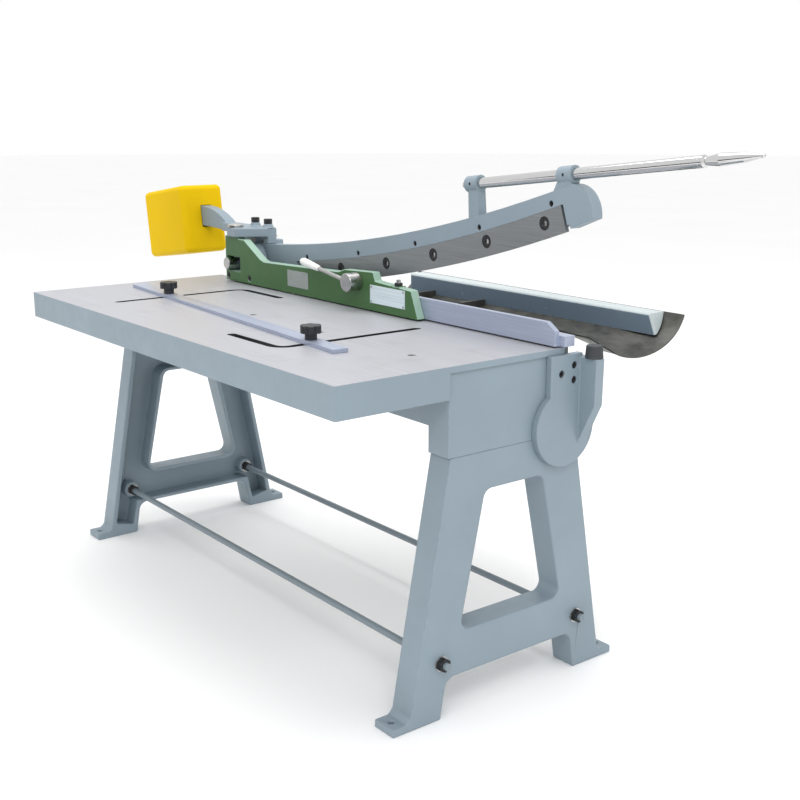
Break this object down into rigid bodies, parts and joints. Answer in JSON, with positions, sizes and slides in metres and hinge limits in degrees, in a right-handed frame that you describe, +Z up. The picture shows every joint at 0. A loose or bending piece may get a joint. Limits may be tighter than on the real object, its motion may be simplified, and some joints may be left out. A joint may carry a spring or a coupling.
{
  "type": "metal shear",
  "caption": "Hand lever sheet-metal shear: cast table on two leg frames, cam-clamped hold-down bar, counterweighted curved blade arm with long chrome handle and rear offcut tray.",
  "frame": {"origin": "on the floor at the centre of the four foot anchor holes", "axes": "+X along the cut towards the handle end, +Y the feed direction from the operator to the offcut tray, +Z up"},
  "size_m": [2.581, 1.0735, 1.3124],
  "materials": {
    "frame_paint": "satin blue-grey enamel",
    "table_iron": "machined top, painted apron",
    "bar_steel": "satin grey paint",
    "black_oxide": "black oxide",
    "bright_steel": "turned",
    "blade_steel": "ground",
    "bar_machined": "ground",
    "bronze": "turned bronze",
    "beam_green": "satin green enamel",
    "plate_aluminium": "blank anodised plate",
    "label_foil": "blank foil label",
    "grip_white": "moulded",
    "bumper_rubber": "moulded",
    "weight_yellow": "satin yellow enamel",
    "handle_chrome": "polished chrome",
    "knob_black": "moulded",
    "tray_steel": "dark oiled steel",
    "tray_paint": "satin blue-grey"
  },
  "bodies": {
    "stand": {"near_leg_frame": "frame_paint", "far_leg_frame": "frame_paint", "front_tie_rod": "bar_steel", "rear_tie_rod": "bar_steel", "tie_rod_nuts": "black_oxide", "tie_rod_washers": "bright_steel", "frame_bolts": "black_oxide", "bed": "frame_paint", "table": "table_iron", "table_screws": "bright_steel", "lower_blade": "blade_steel", "lower_blade_screws": "black_oxide", "pivot_bracket": "frame_paint", "pivot_bracket_bolts": "black_oxide", "pivot_shaft": "bright_steel", "shaft_collar": "bright_steel", "hold_down_beam": "beam_green", "beam_bolts": "black_oxide", "beam_anchor_pin": "bright_steel", "nameplate": "plate_aluminium", "nameplate_rivets": "bright_steel", "small_label": "label_foil", "stop_stud": "bright_steel", "stop_nut": "black_oxide", "clamp_guide_screws": "black_oxide", "end_bracket": "frame_paint", "end_bracket_screws": "black_oxide", "rubber_bumper": "bumper_rubber", "offcut_tray": "tray_steel", "tray_back_plate": "tray_paint", "left_tray_bracket": "tray_steel", "right_tray_bracket": "tray_steel", "tray_bolts": "bright_steel", "tray_bracket_bolts": "black_oxide"},
    "arm": {"blade_arm": "frame_paint", "upper_blade": "blade_steel", "upper_blade_screws": "black_oxide", "blade_set_screws": "black_oxide", "balance_arm": "frame_paint", "balance_arm_bolts": "black_oxide", "balance_disc_bolt": "bright_steel", "counterweight": "weight_yellow", "counterweight_screw": "black_oxide", "handle_rod": "handle_chrome", "handle_grip": "handle_chrome", "handle_grub_screws": "black_oxide", "pivot_bush": "bronze"},
    "clamp": {"clamp_bar": "bar_machined"},
    "cam": {"cam_shaft": "bright_steel", "cam_lever": "bright_steel", "cam_lever_grip": "grip_white", "cam_grub_screw": "black_oxide"},
    "gauge": {"gauge_bar": "bar_machined", "gauge_studs": "bright_steel"},
    "left_knob": {"left_star_knob": "knob_black"},
    "right_knob": {"right_star_knob": "knob_black"}
  },
  "joints": [
    {"name": "arm_pivot", "type": "hinge", "parent": "stand", "child": "arm", "pos_m": [-0.555, 0.181, 0.932], "axis": [0, 1, 0], "range_deg": [0, 11.2]},
    {"name": "clamp_slide", "type": "slide", "parent": "stand", "child": "clamp", "axis": [0, 0, 1], "range_m": [-0.004, 0]},
    {"name": "cam_turn", "type": "hinge", "parent": "stand", "child": "cam", "pos_m": [0.094, 0.06, 0.928], "axis": [0, 1, 0], "range_deg": [0, 90]},
    {"name": "gauge_slide", "type": "slide", "parent": "stand", "child": "gauge", "axis": [0, 1, 0], "range_m": [-0.055, 0.235]},
    {"name": "left_knob_turn", "type": "hinge", "parent": "gauge", "child": "left_knob", "pos_m": [-0.44, -0.22798, 0.87], "axis": [0, 0, 1], "range_deg": [0, 360]},
    {"name": "right_knob_turn", "type": "hinge", "parent": "gauge", "child": "right_knob", "pos_m": [0.44, -0.30002, 0.87], "axis": [0, 0, 1], "range_deg": [0, 360]}
  ],
  "couplings": [
    {"joint": "cam_turn", "follows": "clamp_slide", "rad_per_m": -392.69}
  ]
}
